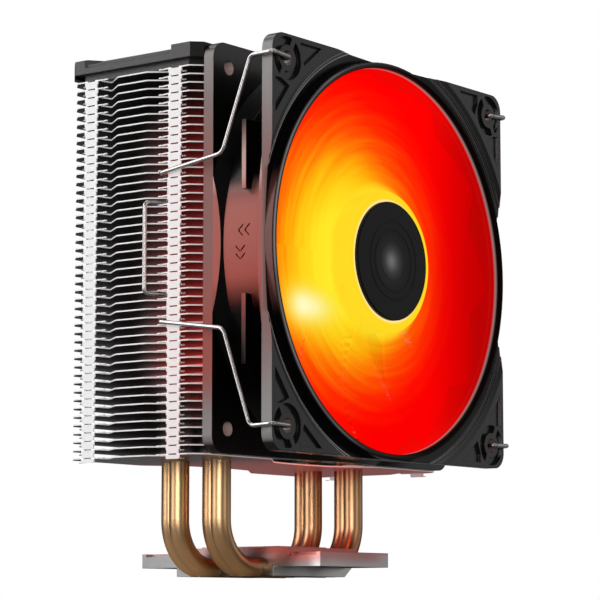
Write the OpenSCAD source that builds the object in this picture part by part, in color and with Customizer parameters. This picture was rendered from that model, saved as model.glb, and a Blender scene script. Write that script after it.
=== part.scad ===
// Tower cooler for a processor: four copper U-pipes run through a stack of thin
// fins, and a 120 mm fan is held on the front of the stack by two wire clips.
// Millimetres, +Z up. Origin: on the base's contact face, midway between the pipes' legs.
// The fan is on the -Y side and blows towards +Y, X runs across the tower.
// Names that end in _r are radii, names that end in _h are heights.

/* [Fin stack] */
// Number of fins in the stack
fin_count = 46; // [46:1:46]
// Distance from one fin to the next
fin_pitch = 2.5; // [2.45:0.01:2.5]
// Thickness of one fin's sheet
fin_thick = 0.4; // [0.3:0.05:0.45]
// Half the width of the fin stack
fin_half_x = 61.5; // [61.3:0.1:61.7]
// Half the depth of the fin stack
fin_half_y = 25.3; // [25:0.1:25.3]
// Height of the lowest fin's underside
fin_bottom = 33.85; // [33.6:0.05:34]
// Depth of the dip in the middle of the front and rear edges
fin_dip = 10.5; // [4:0.5:11]

/* [Heat pipes] */
// Outer radius of a pipe
pipe_r = 3; // [3:0.01:3.02]
// Wall thickness of a pipe
pipe_wall = 0.6; // [0.5:0.05:0.9]
// Distance from one pipe to the next along Y
pipe_pitch = 7.95; // [7.6:0.05:8.1]
// Half the distance between the two legs of a pipe
pipe_half = 33; // [32.5:0.5:34]
// Sideways offset of alternate pipes
pipe_shift = 2.9; // [1:0.1:3]
// Bend radius at the pipe's centre line
pipe_bend = 14; // [13:0.5:14]

/* [Base] */
// Half the depth of the base block
block_y = 18.6; // [17.6:0.2:19]
// Half the length of the clamp plate
wing_y = 34.4; // [33:0.2:36]
// Half the width of the clamp plate
wing_x = 17.2; // [17:0.1:17.4]
// Height of the top of the plate's wings
wing_top = 7.1; // [6.6:0.1:7.4]
// Height of the plate's raised middle
mid_top = 8.55; // [8.5:0.05:9]
// Half the length of the plate's raised middle
mid_y = 22.5; // [20:0.5:23]
// Radius of a bracket hole
bracket_r = 1.65; // [1.5:0.05:1.9]
// Bracket hole distance across X
bracket_x = 22; // [18:1:24]
// Bracket hole distance along Y
bracket_y = 57; // [56:0.5:58]

/* [Fan] */
// Half the side of the fan frame
fan_half = 59.6; // [59.5:0.1:60]
// Depth of the fan frame
fan_depth = 25; // [25:1:25]
// Half the distance between the fan's holes
fan_hole = 52.5; // [52.5:0.1:52.5]
// Radius of a fan hole
fan_hole_r = 2.15; // [2.1:0.05:2.3]
// Inner radius of the air duct
duct_r = 58; // [57.9:0.05:58]
// Radius to the blade tips
tip_r = 57.1; // [56:0.1:57.2]
// Number of blades
blade_count = 11; // [9:1:11]
// Outer radius of the hub ring
hub_r = 21.3; // [21.3:0.1:21.6]
// Radius of the motor shaft
shaft_r = 1.5; // [1.5:0.01:1.5]
// Radial running clearance of the shaft in its sleeve
shaft_gap = 0.03; // [0.02:0.01:0.06]

/* [Clips] */
// Radius of the clip wire
wire_r = 0.65; // [0.55:0.05:0.65]

/* [Hidden] */
$fn = 64;

stack_y = 1.4;      // centre of the fin stack along Y
fan_gap = 0.4;      // from the stack's front to the fan's rear face
fan_y = stack_y - fin_half_y - fan_gap - fan_depth;  // front face of the fan
fan_z = 93.7;       // height of the fan's axis
fin_top = fin_bottom + (fin_count - 1) * fin_pitch + fin_thick;

copper = [0.72, 0.45, 0.26];
frame_black = [0.06, 0.06, 0.065];
wire_steel = [0.8, 0.8, 0.82];

// ------------------------------------------------------------------- helpers
module both_sides() {
  for (m = [0, 1]) mirror([m, 0, 0]) children();
}
module front_and_rear() {
  for (m = [0, 1]) mirror([0, m, 0]) children();
}
module four_corners() {
  both_sides() front_and_rear() children();
}
module quarter_turns() {
  for (a = [0 : 90 : 270]) rotate([0, 0, a]) children();
}
// box centred on the X axis in Y, from x = start and z = bottom
module beam(start, bottom, size) {
  translate([start, -size[1] / 2, bottom]) cube(size);
}

// ---------------------------------------------------------------- heat pipes
pipe_z = 2.6;               // pipe centre line in the base
pipe_top = fin_top + 5.4;   // end of the legs
taper_h = 3.4;              // taper at the end of a leg
point_h = 0.8;              // blunt point above the taper
bore_stop = 1.4;            // the bore ends this far below the leg's end

function pipe_y(k) = (k - 1.5) * pipe_pitch;
function pipe_x(k) = (k % 2 == 0) ? -pipe_shift : pipe_shift;

// a U in the XZ plane: run, two bends, two legs
module pipe_path(k, r, extra = 0, tip = true) {
  run_half = pipe_half - pipe_bend;
  leg_top = pipe_top + extra - taper_h - point_h - pipe_z;
  translate([pipe_x(k), pipe_y(k), pipe_z]) {
    translate([-run_half, 0, 0]) rotate([0, 90, 0]) cylinder(r = r, h = 2 * run_half, $fn = 48);
    both_sides() {
      translate([run_half, 0, pipe_bend]) rotate([90, 0, 0]) rotate([0, 0, -90])
        rotate_extrude(angle = 90, $fn = 96) translate([pipe_bend, 0]) circle(r = r, $fn = 48);
      translate([pipe_half, 0, pipe_bend]) cylinder(r = r, h = leg_top - pipe_bend, $fn = 48);
      if (tip) {
        translate([pipe_half, 0, leg_top])
          cylinder(r1 = r, r2 = r * 0.42, h = taper_h, $fn = 48);
        translate([pipe_half, 0, leg_top + taper_h])
          cylinder(r1 = r * 0.42, r2 = r * 0.2, h = point_h, $fn = 48);
      }
    }
  }
}
module heat_pipe(k) {
  difference() {
    pipe_path(k, pipe_r);
    // flattened flush with the contact face
    translate([-60, pipe_y(k) - 5, -5]) cube([120, 10, 5]);
    pipe_path(k, pipe_r - pipe_wall, -bore_stop);
  }
}
module heat_pipe_1() { color(copper) heat_pipe(0); }
module heat_pipe_2() { color(copper) heat_pipe(1); }
module heat_pipe_3() { color(copper) heat_pipe(2); }
module heat_pipe_4() { color(copper) heat_pipe(3); }

// room for all four pipes, with a little clearance
module pipe_channels() {
  for (k = [0 : 3]) pipe_path(k, pipe_r + 0.03, tip = false);
}

// ---------------------------------------------------------------------- base
core_x = 12.8;       // half the width of the core
core_y = 16;         // half the depth of the core
core_step = 1;       // the core's top is drawn in by this much
window_gap = 0.05;   // clearance between core and window
block_left = -19.4;  // -X end of the lower block
block_right = 20.2;  // +X end of the lower block
block_top = 3.1;
mid_bottom = 3.15;   // underside of the plate's raised middle
wing_bottom = 2.75;  // underside of the wings
wing_start = block_y + 0.1;
rebate_w = 2;
rebate_h = 0.9;
end_lip = 1.6;

module base_block() {
  color([0.62, 0.62, 0.64]) difference() {
    union() {
      // lower block, its +X end cut back towards the contact face
      rotate([90, 0, 0]) translate([0, 0, -block_y]) linear_extrude(2 * block_y)
        polygon([[block_left, 0], [16.4, 0], [block_right, 2.9],
          [block_right, block_top], [block_left, block_top]]);
      // core that stands up through the clamp plate
      translate([-core_x, -core_y, 3.0]) cube([2 * core_x, 2 * core_y, 5.5]);
      translate([-core_x + core_step, -core_y + core_step, 8.3])
        cube([2 * (core_x - core_step), 2 * (core_y - core_step), 0.75]);
    }
    pipe_channels();
  }
}
module clamp_plate() {
  color([0.74, 0.74, 0.76]) difference() {
    union() {
      // raised middle over the block, flush with the wings' sides
      translate([-wing_x, -mid_y, mid_bottom]) cube([2 * wing_x, 2 * mid_y, mid_top - mid_bottom]);
      // the two wings, a little lower at both faces
      front_and_rear() translate([-wing_x, wing_start, wing_bottom])
        cube([2 * wing_x, wing_y - wing_start, wing_top - wing_bottom]);
    }
    // window for the block's core
    translate([-core_x - window_gap, -core_y - window_gap, 2])
      cube([2 * (core_x + window_gap), 2 * (core_y + window_gap), 8]);
    // rebate along the wings' side edges, a lip is left at each end
    four_corners() translate([wing_x - rebate_w, mid_y, wing_top - rebate_h])
      cube([rebate_w + 1, wing_y - end_lip - mid_y, 2]);
    // saddles over the pipes
    pipe_channels();
    for (sx = [-1, 1], sy = [-1, 1]) translate([sx * bracket_x / 2, sy * bracket_y / 2, 2])
      cylinder(r = bracket_r, h = 8, $fn = 32);
  }
}

// ---------------------------------------------------------------------- fins
tab_thick = 0.4;
tab_start = 13.75;   // near end of a tab along Y, from the stack's centre
tab_length = 5;

// [x, y] of a quarter outline, from the side's middle to the rear edge's middle
fin_quarter = [
  [fin_half_x, 5.7], [fin_half_x - 4.6, 11.7], [fin_half_x - 4.6, 13.3],
  [fin_half_x - 0.7, 13.3], [fin_half_x - 0.7, 10.3], [fin_half_x, 10.3],
  [fin_half_x, 21.7], [fin_half_x - 3.5, fin_half_y], [27, fin_half_y],
  [14, fin_half_y - fin_dip + 1.2], [5, fin_half_y - fin_dip]];
quarter_last = len(fin_quarter) - 1;
// the quarter mirrored round all four, every second one run backwards
fin_outline = [for (q = [0 : 3], i = [0 : quarter_last])
  let (p = fin_quarter[q % 2 == 0 ? i : quarter_last - i])
  [p[0] * (q == 0 || q == 3 ? 1 : -1), stack_y + p[1] * (q < 2 ? 1 : -1)]];

module fin(tab_drop) {
  difference() {
    linear_extrude(fin_thick) polygon(fin_outline);
    for (k = [0 : 3], side = [-1, 1]) translate([side * pipe_half + pipe_x(k), pipe_y(k), -1])
      cylinder(r = pipe_r + 0.05, h = 2, $fn = 32);
  }
  // folded tabs near the corners
  translate([0, stack_y, 0]) four_corners()
    translate([fin_half_x - tab_thick, tab_start, -tab_drop])
      cube([tab_thick, tab_length, tab_drop + fin_thick]);
}
module cooling_fins() {
  // each fin's tabs reach down to the fin below it, the lowest fin's are cut short
  color([0.86, 0.87, 0.88]) for (k = [0 : fin_count - 1])
    translate([0, 0, fin_bottom + k * fin_pitch])
      fin(k == 0 ? 1.15 : fin_pitch - fin_thick - 0.03);
}

// ----------------------------------------------------------------- top cover
cover_x = fin_half_x + 0.5;  // half the width
cover_y = fin_half_y;        // half the depth
cover_z = fin_top + 2.25;    // underside of the cover's side rails
cover_chamfer = 2.9;
cover_corner = 17;           // width of a corner block
skirt_z = fin_top + 0.02;

// chamfered rectangle, drawn in by "inset"
module cover_outline(inset) {
  x = cover_x - inset;
  y = cover_y - inset;
  c = cover_chamfer;
  polygon([[x, -y + c], [x, y - c], [x - c, y], [-x + c, y],
    [-x, y - c], [-x, -y + c], [-x + c, -y], [x - c, -y]]);
}
// outline with a rectangular opening, "less" narrower and shallower than the cover
module cover_frame(inset, less) {
  difference() {
    cover_outline(inset);
    square([2 * cover_x - less[0], 2 * cover_y - less[1]], center = true);
  }
}
// side rail: upright foot and a sloped band above it
module cover_rail() {
  rotate([90, 0, 0]) translate([0, 0, -cover_y]) linear_extrude(2 * cover_y)
    polygon([[cover_x, 0], [cover_x, 1.8], [cover_x - 1.9, 3.55], [cover_x - 5, 3.55],
      [cover_x - 7, 1.9], [cover_x - 7, 0]]);
}
// corner block on the fan's side
module cover_front_block() {
  linear_extrude(4.35) polygon([[cover_x, -15.2], [cover_x, -cover_y + cover_chamfer],
    [cover_x - cover_chamfer, -cover_y], [cover_x - cover_corner, -cover_y],
    [cover_x - cover_corner, -cover_y + 4.5], [cover_x - 8, -15.2]]);
}
// rear corner block: its top is bevelled at the rear and falls away towards the front
module cover_rear_block() {
  intersection() {
    translate([cover_x - 20, 0, 0]) rotate([90, 0, 90]) linear_extrude(20)
      polygon([[11, 0], [11, 3.4], [17.4, 4.25], [cover_y - 1, 4.15], [cover_y, 3.4], [cover_y, 0]]);
    linear_extrude(8) polygon([[cover_x, 18.6], [cover_x, cover_y - cover_chamfer],
      [cover_x - cover_chamfer, cover_y], [cover_x - cover_corner, cover_y],
      [cover_x - cover_corner, cover_y - 4.5], [cover_x - 8, 13.8],
      [cover_x - 5, 11], [cover_x - 2.6, 11]]);
  }
}
module top_cover() {
  color([0.16, 0.155, 0.155]) translate([0, stack_y, 0]) difference() {
    union() {
      translate([0, 0, cover_z]) {
        intersection() {
          linear_extrude(8) cover_outline(0);
          both_sides() cover_rail();
        }
        // front and rear bars
        linear_extrude(2.8) cover_frame(0.4, [12, 9]);
        both_sides() {
          cover_front_block();
          cover_rear_block();
        }
      }
      // rear corners reach lower
      intersection() {
        translate([0, 0, cover_z - 1]) linear_extrude(1.2) cover_outline(0);
        both_sides() translate([cover_x - cover_corner, cover_y - 2.6, cover_z - 2])
          cube([20, 5, 3]);
      }
      // recessed skirt that stands on the top fin
      translate([0, 0, skirt_z]) linear_extrude(cover_z - fin_top + 0.4)
        cover_frame(2.2, [14, 10]);
    }
    // the open middle dips with the fins' front and rear edges
    front_and_rear() translate([0, 0, fin_top]) linear_extrude(10)
      polygon([[-26, cover_y + 1], [-20, cover_y - 2.4], [20, cover_y - 2.4], [26, cover_y + 1]]);
  }
}

// ----------------------------------------------------------------- fan frame
// fan parts are drawn with the axis along Z: front face at 0, rear face at -fan_depth,
// and their turned profiles are lists of [radius, z]
front_flange = 3.7;
rear_flange = 3.5;
duct_outer_r = 59;
mount_h = 2.7;        // thickness of the motor base and its struts
boss_r = 5;           // tube that carries the stator
sleeve_r = 3.5;       // bearing sleeve
label_r = 16.2;
cable_angle = 45;     // direction of the strut that carries the cable
arrow_x = -60;

module fan_place() {
  translate([0, fan_y, fan_z]) rotate([90, 0, 0]) children();
}
module rounded_square(half, r) {
  union() {
    square([2 * half, 2 * (half - r)], center = true);
    square([2 * (half - r), 2 * half], center = true);
    for (sx = [-1, 1], sy = [-1, 1])
      translate([sx * (half - r), sy * (half - r)]) circle(r = r, $fn = 32);
  }
}
module chevron(a) {
  rotate([0, 0, a]) front_and_rear() rotate([0, 0, 45]) beam(0, 0, [2.3, 0.4, 3]);
}
module corner_relief() {
  // recessed ring round a fan hole, with two webs left
  difference() {
    translate([fan_hole, fan_hole, -1.2]) cylinder(r = 6.3, h = 3, $fn = 48);
    translate([fan_hole, fan_hole, -2]) {
      cylinder(r = 3.9, h = 5, $fn = 32);
      for (a = [118, -62]) rotate([0, 0, a]) beam(0, 0, [9, 1.8, 5]);
    }
  }
  // two four-sided pockets, mirrored across the diagonal
  for (m = [0, 1]) mirror([m, -m, 0]) translate([0, 0, -0.9]) linear_extrude(3)
    polygon([[58.1, 36.2], [58.1, 46.3], [55.5, 46.3], [51.6, 44.6]]);
}
module frame_body() {
  intersection() {
    union() {
      // front and rear flanges
      translate([0, 0, -front_flange]) cylinder(r = 90, h = front_flange);
      translate([0, 0, -fan_depth]) cylinder(r = 90, h = rear_flange);
      // the duct widens into both flanges
      rotate_extrude($fn = 128) polygon([[duct_r - 0.5, -5.62], [duct_outer_r, -5.62],
        [64.6, -3.6], [64.6, -3], [duct_r - 0.5, -3]]);
      rotate_extrude($fn = 128) polygon([[duct_r - 0.5, -18], [duct_outer_r, -18],
        [62.9, -21.6], [62.9, -22], [duct_r - 0.5, -22]]);
    }
    translate([0, 0, -30]) linear_extrude(40) rounded_square(fan_half, 5);
  }
  translate([0, 0, -fan_depth]) cylinder(r = duct_outer_r, h = fan_depth - 2, $fn = 128);
  // side ribs between the flanges
  four_corners() translate([40, 15, -11]) cube([fan_half - 0.1 - 40, 20, 1.5]);
}
module frame_cuts() {
  // dished front, falling in steps to the foot of the round rim
  rotate_extrude($fn = 128) polygon([[0, -2.4], [59.8, -2.4], [63.1, -1.6], [63.15, -1.25],
    [64.2, -0.95], [64.25, -0.6], [66.1, 0], [66.6, 1], [0, 1]]);
  // air duct
  translate([0, 0, -26]) cylinder(r = duct_r, h = 30, $fn = 128);
  for (sx = [-1, 1], sy = [-1, 1]) translate([sx * fan_hole, sy * fan_hole, -30])
    cylinder(r = fan_hole_r, h = 40, $fn = 32);
  four_corners() corner_relief();
  // airflow and rotation arrows cut through the duct's -X side
  for (i = [0, 1]) {
    translate([arrow_x, 3.2, -10.3 - 2.3 * i]) rotate([0, 90, 0]) chevron(180);
    translate([arrow_x, -2.9 - 2.2 * i, -11.9]) rotate([0, 90, 0]) chevron(90);
  }
  // notch for the cable
  rotate([0, 0, cable_angle]) beam(55, -22.6, [12.2, 3.4, 3.4]);
}
module motor_mount() {
  difference() {
    union() {
      // motor base, bearing tube and struts
      translate([0, 0, -fan_depth]) cylinder(r = 21, h = mount_h);
      translate([0, 0, -23]) cylinder(r = boss_r, h = 14, $fn = 48);
      for (a = [45 : 90 : 315]) rotate([0, 0, a]) beam(18, -fan_depth, [40.4, 4.4, mount_h]);
    }
    // bore for the sleeve
    translate([0, 0, -23]) cylinder(r = sleeve_r + 0.02, h = 20, $fn = 48);
    // recess for the label
    translate([0, 0, -fan_depth - 1]) cylinder(r = label_r + 0.3, h = 1.25);
    // cable channel in one strut
    rotate([0, 0, cable_angle]) beam(19.4, -23.4, [45, 3, 4]);
  }
}
module fan_frame() {
  color(frame_black) fan_place() difference() {
    union() frame_body();
    frame_cuts();
  }
  color(frame_black) fan_place() {
    // round rim, a little proud of the flange
    rotate_extrude($fn = 128) polygon([[duct_r, -4], [duct_r, 0.2], [58.5, 0.7], [59.1, 0.7],
      [59.7, 0], [59.7, -2.6], [duct_outer_r, -4]]);
    motor_mount();
  }
}

// ------------------------------------------------------------------ impeller
blade_root_r = 20.7;
rows = 8;             // steps from root to tip
cols = 10;            // steps from front to rear edge
cap_r = 17.9;         // hub cap

// "out" runs from 0 at a blade's root to 1 at its tip, "back" from 0 at its front edge
// to 1 at its rear edge; angles in degrees
function blade_sweep(out) = 26 * out * out - 4 * out;
function blade_span(out) = 51 - 2 * out;
function blade_front_z(out) = -3.8 - 0.7 * out;
function blade_rear_z(out) = -15.2 + 0.4 * out;
function blade_thick(out, back) =
  (2.0 - 1.0 * out) * (0.35 + 1.3 * sin(180 * min(1, 0.12 + back * 0.8))) * 0.5;
function flip(face) = [face[0], face[2], face[1]];

// cambered, swept blade: a grid of points on its front side, then one on its rear side
module blade() {
  points = [for (side = [1, -1], i = [0 : rows], j = [0 : cols])
    let (out = i / rows, back = j / cols,
      r = blade_root_r + (tip_r - blade_root_r) * out,
      a = blade_sweep(out) + (back - 0.5) * blade_span(out),
      camber = 0.09 * sin(180 * back),
      z = blade_front_z(out) + (blade_rear_z(out) - blade_front_z(out)) * (back + camber))
    [r * cos(a), r * sin(a), z + side * blade_thick(out, back) / 2]];
  row = cols + 1;             // points in a row
  grid = (rows + 1) * row;    // points on one side
  front = [for (i = [0 : rows - 1], j = [0 : cols - 1])
    let (a = i * row + j)
    for (face = [[a, a + 1, a + row], [a + 1, a + row + 1, a + row]]) face];
  rear = [for (face = front) flip(face) + [grid, grid, grid]];
  root_and_tip = [for (i = [0, rows], j = [0 : cols - 1])
    let (a = i * row + j, b = a + grid)
    for (face = [[a, b, a + 1], [a + 1, b, b + 1]]) i == 0 ? face : flip(face)];
  edges = [for (j = [0, cols], i = [0 : rows - 1])
    let (a = i * row + j, b = a + grid)
    for (face = [[a, a + row, b], [a + row, b + row, b]]) j == 0 ? face : flip(face)];
  polyhedron(points = points, faces = concat(front, rear, root_and_tip, edges), convexity = 6);
}
module impeller() {
  color([0.95, 0.25, 0.1]) fan_place() union() {
    difference() {
      union() {
        translate([0, 0, -19]) cylinder(r = hub_r, h = 16.6, $fn = 96);
        translate([0, 0, -2.5]) cylinder(r1 = hub_r, r2 = hub_r - 1, h = 0.9, $fn = 96);
      }
      translate([0, 0, -20]) cylinder(r = 20, h = 17, $fn = 96);
      // seat for the hub cap
      translate([0, 0, -2.2]) cylinder(r = cap_r + 0.05, h = 3, $fn = 96);
    }
    // boss that holds the shaft
    difference() {
      translate([0, 0, -8]) cylinder(r = 4, h = 5.4, $fn = 48);
      translate([0, 0, -9]) cylinder(r = shaft_r + 0.01, h = 5.2, $fn = 48);
    }
    for (i = [0 : blade_count - 1]) rotate([0, 0, i * 360 / blade_count]) blade();
  }
}
module hub_cap() {
  // its front has three shallow ring grooves
  color([0.05, 0.05, 0.055]) fan_place() rotate_extrude($fn = 96) polygon([
    [0, -2.15], [cap_r, -2.15], [cap_r, -0.9], [17.5, -0.5],
    [12.2, -0.5], [12.1, -0.62], [11.6, -0.62], [11.5, -0.5],
    [9.6, -0.5], [9.5, -0.62], [9.1, -0.62], [9, -0.5],
    [6.4, -0.6], [6.3, -0.72], [5.9, -0.72], [5.8, -0.62],
    [3, -0.85], [2.4, -0.95], [0, -1]]);
}

// --------------------------------------------------------------------- motor
stator_z = -17.5;           // rear face of the stator core
stator_h = 6;
stator_hub_r = 7.2;
stator_bore_r = boss_r + 0.03;
arm_w = 4;                  // width of a stator arm
coil_over = 2.1;            // the coils stand this far beyond the core
coil_gap = 0.65;            // from the core to the inside of a coil
board_z = -22.25;
board_h = 1.2;

// ring of rectangular section
module flat_ring(inner, outer, front, rear) {
  rotate_extrude() polygon([[inner, front], [outer, front], [outer, rear], [inner, rear]]);
}
module rotor_yoke() {
  color([0.55, 0.55, 0.57]) fan_place() rotate_extrude($fn = 96) polygon([
    [4.1, -3.1], [19.9, -3.1], [19.9, -18.5], [18.9, -18.5], [18.9, -4.1], [4.1, -4.1]]);
}
module rotor_magnet() {
  color([0.2, 0.2, 0.22]) fan_place() flat_ring(17.3, 18.85, -8, -18.3, $fn = 96);
}
module shaft() {
  color([0.8, 0.8, 0.82]) fan_place() difference() {
    translate([0, 0, -22.5]) cylinder(r = shaft_r, h = 18.6, $fn = 48);
    // groove for the retaining ring
    flat_ring(1.15, 2, -21.65, -22, $fn = 48);
  }
}
module retaining_ring() {
  color([0.9, 0.9, 0.88]) fan_place() difference() {
    flat_ring(1.18, 2.7, -21.69, -21.96, $fn = 48);
    beam(0, -23, [4, 0.8, 3]);
  }
}
module bearing_sleeve() {
  color([0.72, 0.55, 0.3]) fan_place() difference() {
    translate([0, 0, -21.5]) cylinder(r = sleeve_r, h = 12.6, $fn = 48);
    translate([0, 0, -23]) cylinder(r = shaft_r + shaft_gap, h = 16, $fn = 48);
  }
}
// one arm of the stator and its curved shoe
module pole() {
  beam(6, stator_z, [9.5, arm_w, stator_h]);
  intersection() {
    difference() {
      translate([0, 0, stator_z]) cylinder(r = 16.4, h = stator_h, $fn = 96);
      translate([0, 0, -18]) cylinder(r = 14.8, h = 8, $fn = 96);
    }
    translate([0, 0, -18]) linear_extrude(8) polygon([[0, 0], [20, -14.6], [20, 14.6]]);
  }
}
module stator_core() {
  color([0.42, 0.42, 0.44]) fan_place() difference() {
    union() {
      translate([0, 0, stator_z]) cylinder(r = stator_hub_r, h = stator_h, $fn = 48);
      quarter_turns() pole();
    }
    translate([0, 0, -19]) cylinder(r = stator_bore_r, h = 12, $fn = 48);
  }
}
module bobbin_half() {
  difference() {
    union() {
      cylinder(r = stator_hub_r, h = 2, $fn = 48);
      quarter_turns() {
        beam(6, 0, [9.2, arm_w, 0.6]);
        beam(14.4, 0, [0.8, 9.2, 2.2]);
      }
    }
    translate([0, 0, -1]) cylinder(r = stator_bore_r, h = 5, $fn = 48);
  }
}
module coil_bobbin() {
  // front and rear insulator halves
  color([0.9, 0.88, 0.8]) fan_place() {
    translate([0, 0, stator_z + stator_h + 0.02]) bobbin_half();
    translate([0, 0, stator_z - 0.02]) mirror([0, 0, 1]) bobbin_half();
  }
}
module stator_coils() {
  color([0.75, 0.4, 0.2]) fan_place() quarter_turns() difference() {
    beam(7.5, stator_z - coil_over, [6.65, 7.8, stator_h + 2 * coil_over]);
    beam(7, stator_z - coil_gap, [8, arm_w + 0.1, stator_h + 2 * coil_gap]);
  }
}
module motor_board() {
  color([0.1, 0.3, 0.16]) fan_place() difference() {
    translate([0, 0, board_z]) cylinder(r = 20.3, h = board_h);
    translate([0, 0, -24]) cylinder(r = boss_r + 0.05, h = 5, $fn = 48);
  }
}
module leds() {
  color([1, 0.3, 0.1]) fan_place() quarter_turns()
    beam(17.2, board_z + board_h + 0.02, [2.8, 3, 1.1]);
}
module rear_label() {
  color([0.2, 0.2, 0.2]) fan_place()
    translate([0, 0, -fan_depth + 0.03]) cylinder(r = label_r, h = 0.2);
}

// --------------------------------------------------------------------- cable
cable_w = 2.3;        // side of the square bundle
cable_start = 20.35;
cable_rear = -22.5;   // rear side of the run along the strut
cable_front = -5.2;   // front side of the run across the corner
cable_out = 64.5;     // distance of the corner run from the fan's axis
cable_side = 10.15;   // far side of the corner run

module fan_cable() {
  // along one strut, through the duct's notch, forward in the corner and back to the plug
  color([0.08, 0.08, 0.08]) fan_place() rotate([0, 0, cable_angle]) {
    beam(cable_start, cable_rear, [cable_out + cable_w - cable_start, cable_w, cable_w]);
    beam(cable_out, cable_rear, [cable_w, cable_w, cable_front - cable_rear]);
    translate([cable_out, -cable_w / 2, cable_front - cable_w])
      cube([cable_w, cable_side + cable_w / 2, cable_w]);
    translate([cable_out, cable_side - cable_w, -9]) cube([cable_w, cable_w, 3.8]);
  }
}
module cable_plug() {
  pin_pitch = 2.54;
  socket_w = 0.9;
  color([0.07, 0.07, 0.07]) fan_place() rotate([0, 0, cable_angle]) difference() {
    translate([64.1, 3.9, -20]) cube([5.8, 10.2, 10.95]);
    // sockets for the four pins
    for (i = [0 : 3]) translate([66.5, 5.15 + pin_pitch * i - socket_w / 2, -21])
      cube([socket_w, socket_w, 7]);
    // keyway beside the sockets
    translate([69.3, 5.9, -21]) cube([1, 6.2, 9]);
  }
}

// --------------------------------------------------------------------- clips
function unit(v) = v / norm(v);
// angle by which the path turns at point i
function turn(p, i) = acos(max(-1, min(1, unit(p[i] - p[i - 1]) * unit(p[i + 1] - p[i]))));

module rod(from, to, r) {
  d = to - from;
  length = norm(d);
  translate(from) rotate([0, acos(d[2] / length), atan2(d[1], d[0])])
    cylinder(r = r, h = length, $fn = 20);
}
// bent wire through the points p: straight rods joined by true bends
module wire(p, r, bends) {
  last = len(p) - 1;
  // length that each bend takes from the rods on its two sides
  trim = [for (i = [0 : last]) i == 0 || i == last ? 0 : bends[i] * tan(turn(p, i) / 2)];
  lap = 0.05;
  union() {
    // the rods run a little way into the bends, and are thicker by less than a hundredth
    for (i = [0 : last - 1])
      let (along = unit(p[i + 1] - p[i]))
      rod(p[i] + along * (trim[i] - (i == 0 ? 0 : lap)),
        p[i + 1] - along * (trim[i + 1] - (i == last - 1 ? 0 : lap)), r + 0.005);
    // each bend is turned in the plane of its two rods
    for (i = [1 : last - 1])
      let (u = unit(p[i] - p[i - 1]), v = unit(p[i + 1] - p[i]),
        inward = unit(v - (v * u) * u),
        c = p[i] - u * trim[i] + inward * bends[i],
        o = -inward, w = cross(o, u))
      multmatrix([[o[0], u[0], w[0], c[0]], [o[1], u[1], w[1], c[1]],
          [o[2], u[2], w[2], c[2]], [0, 0, 0, 1]])
        rotate_extrude(angle = turn(p, i), $fn = 48)
          translate([bends[i], 0]) circle(r = r, $fn = 20);
  }
}

// middle of the gap above fin k
function gap_z(k) = fin_bottom + k * fin_pitch + fin_thick + (fin_pitch - fin_thick) / 2;
groove_x = fin_half_x - 3.4;    // wire in the fins' side groove
side_x = fin_half_x + 0.85;     // wire beside the fins
loop_x = fin_half_x + 2.9;      // wire of the middle loop
groove_y = stack_y - 11.5;
loop_y = groove_y + 3.8;
pin_y = fan_y + 3.3;            // end of the wire in a fan hole
face_y = fan_y - 1.15;          // wire in front of the fan
upper_top = gap_z(32) + 0.38;   // the two stretches in the groove
upper_foot = gap_z(29) - 0.35;
lower_top = gap_z(18) + 0.38;
lower_foot = gap_z(15) - 0.38;

// [x, y, z] of the +X clip's wire, from top to bottom
clip_points = [
  [fan_hole, pin_y, fan_z + fan_hole], [fan_hole, face_y, fan_z + fan_hole],
  [60.5, face_y, fan_z + 53.1], [61, fan_y + 6.8, fan_z + 52.8],
  [side_x, fan_y + 15.9, fan_z + 25.4], [side_x, groove_y, upper_top],
  [groove_x, groove_y, upper_top], [groove_x, groove_y, upper_foot],
  [loop_x, loop_y, upper_foot], [loop_x, loop_y, lower_top],
  [groove_x, groove_y, lower_top], [groove_x, groove_y, lower_foot],
  [side_x, groove_y, lower_foot], [side_x, fan_y + 15.3, fan_z - 24.8],
  [61, fan_y + 6.7, fan_z - 52.7], [60.5, face_y, fan_z - 52.3],
  [fan_hole, face_y, fan_z - fan_hole], [fan_hole, pin_y, fan_z - fan_hole]];
// bend radius at each point
clip_bends = [0, 1.4, 1.4, 2, 3, 1.1, 1.1, 1.4, 1.4, 1.4, 1.4, 1.1, 1.1, 3, 2, 1.4, 1.4, 0];

module clip(side) {
  wire([for (p = clip_points) [side * p[0], p[1], p[2]]], wire_r, clip_bends);
}
module clip_right() { color(wire_steel) clip(1); }
module clip_left() { color(wire_steel) clip(-1); }

base_block();
clamp_plate();
heat_pipe_1();
heat_pipe_2();
heat_pipe_3();
heat_pipe_4();
cooling_fins();
top_cover();
fan_frame();
impeller();
hub_cap();
rotor_yoke();
rotor_magnet();
shaft();
retaining_ring();
bearing_sleeve();
stator_core();
coil_bobbin();
stator_coils();
motor_board();
leds();
rear_label();
fan_cable();
cable_plug();
clip_left();
clip_right();
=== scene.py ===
# Tower cooler: a base block and clamp plate, four bent heat pipes, a stack of 46 fins with a
# cover on top, and a lit fan in front of the fins. It stands on z = 0 with its width along X,
# the pipes rising along Z and the fan facing -Y. Left and right are -X and +X.
import math

import bmesh
import bpy
from mathutils import Matrix, Vector


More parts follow.
